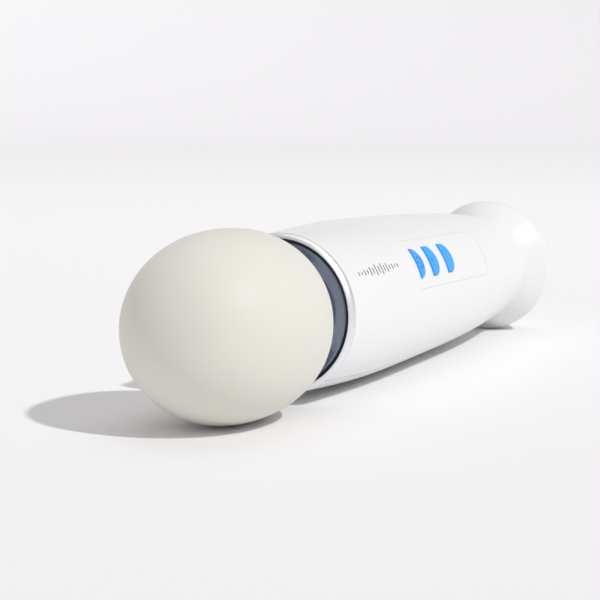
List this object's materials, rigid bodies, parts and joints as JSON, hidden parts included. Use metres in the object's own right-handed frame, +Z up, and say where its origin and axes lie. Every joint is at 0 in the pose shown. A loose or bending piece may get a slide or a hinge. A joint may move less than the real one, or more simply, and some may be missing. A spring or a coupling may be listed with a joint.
{
  "type": "handheld wand massager",
  "caption": "Cordless massage wand: soft egg-shaped head on a flexing neck, polished collar, waisted handle with a key panel and a flared foot.",
  "frame": {"origin": "middle of the object in plan, on the surface it lies on", "axes": "+X runs along the wand from head to foot, +Z up; the key panel faces -Y and partly up"},
  "size_m": [0.2522, 0.052, 0.052],
  "materials": {
    "head_silicone": "satin off-white silicone",
    "neck_rubber": "matt blue-grey rubber",
    "gloss_shell": "glossy white moulded plastic",
    "panel_white": "glossy white pad",
    "key_blue": "light blue keys",
    "chrome_trim": "polished plated metal",
    "black_seal": "black seal",
    "inner_plastic": "natural moulded plastic",
    "steel": "plain steel",
    "soft_grey": "grey elastomer",
    "board_green": "green circuit board",
    "black_plastic": "black moulded plastic",
    "cell_wrap": "shrink-wrapped cell",
    "copper": "copper and brass",
    "wire_red": "insulated wire"
  },
  "bodies": {
    "handle": {"neck_socket": "inner_plastic", "neck_retainer": "inner_plastic", "collar_ring": "chrome_trim", "collar_gasket": "black_seal", "collar_dish": "chrome_trim", "front_shell": "gloss_shell", "back_shell": "gloss_shell", "shell_screws": "steel", "base_cap": "gloss_shell", "charge_inlet": "black_plastic", "inlet_nut": "steel", "inlet_leads": "wire_red", "button_panel": "panel_white", "button_board": "board_green", "switch_bodies": "black_plastic", "motor_mount": "inner_plastic", "motor_screws": "steel", "motor_grommets": "soft_grey", "motor_can": "steel", "motor_endcap": "black_plastic", "motor_terminals": "copper", "motor_magnets": "soft_grey", "motor_leads": "wire_red", "battery_cell": "cell_wrap", "battery_contacts": "copper", "battery_cradle": "inner_plastic", "battery_leads": "wire_red", "main_board": "board_green", "board_components": "black_plastic"},
    "head": {"head_cover": "head_silicone", "head_core_front": "inner_plastic", "head_core_rear": "inner_plastic", "core_screws": "steel", "front_bearing": "steel", "rear_bearing": "steel", "neck_boot": "neck_rubber"},
    "neck_link": {"neck_liner": "soft_grey"},
    "motor_rotor": {"motor_shaft": "steel", "rotor_core": "steel", "commutator": "copper", "coupling_hose": "soft_grey"},
    "drive_train": {"drive_shaft": "steel", "eccentric_weight": "steel", "weight_screw": "steel", "shaft_clip": "steel"},
    "power_key": {"power_button": "key_blue", "power_plunger": "black_plastic"},
    "mode_key": {"mode_button": "key_blue", "mode_plunger": "black_plastic"},
    "speed_key": {"speed_button": "key_blue", "speed_plunger": "black_plastic"}
  },
  "joints": [
    {"name": "neck_tilt", "type": "hinge", "parent": "handle", "child": "neck_link", "pos_m": [-0.04759, 0, 0.02548], "axis": [0.0103, 0.4695, 0.8829], "range_deg": [-5, 5], "stiffness_Nm_per_rad": 4},
    {"name": "neck_sway", "type": "hinge", "parent": "neck_link", "child": "head", "pos_m": [-0.04759, 0, 0.02548], "axis": [0.0055, -0.8829, 0.4694], "range_deg": [-5, 5], "stiffness_Nm_per_rad": 4},
    {"name": "motor_spin", "type": "hinge", "parent": "handle", "child": "motor_rotor", "pos_m": [-0.0314, 0, 0.02529], "axis": [0.9999, 0, -0.0117], "continuous": true},
    {"name": "weight_spin", "type": "hinge", "parent": "head", "child": "drive_train", "pos_m": [-0.09359, 0, 0.02602], "axis": [0.9999, 0, -0.0117], "continuous": true},
    {"name": "power_press", "type": "slide", "parent": "handle", "child": "power_key", "axis": [-0.0055, 0.8829, -0.4694], "range_m": [0, 0.0005], "stiffness_N_per_m": 600, "springref_m": -0.001},
    {"name": "mode_press", "type": "slide", "parent": "handle", "child": "mode_key", "axis": [-0.0055, 0.8829, -0.4694], "range_m": [0, 0.0005], "stiffness_N_per_m": 600, "springref_m": -0.001},
    {"name": "speed_press", "type": "slide", "parent": "handle", "child": "speed_key", "axis": [-0.0055, 0.8829, -0.4694], "range_m": [0, 0.0005], "stiffness_N_per_m": 600, "springref_m": -0.001}
  ],
  "couplings": [
    {"joint": "motor_spin", "follows": "weight_spin", "ratio": 1}
  ]
}
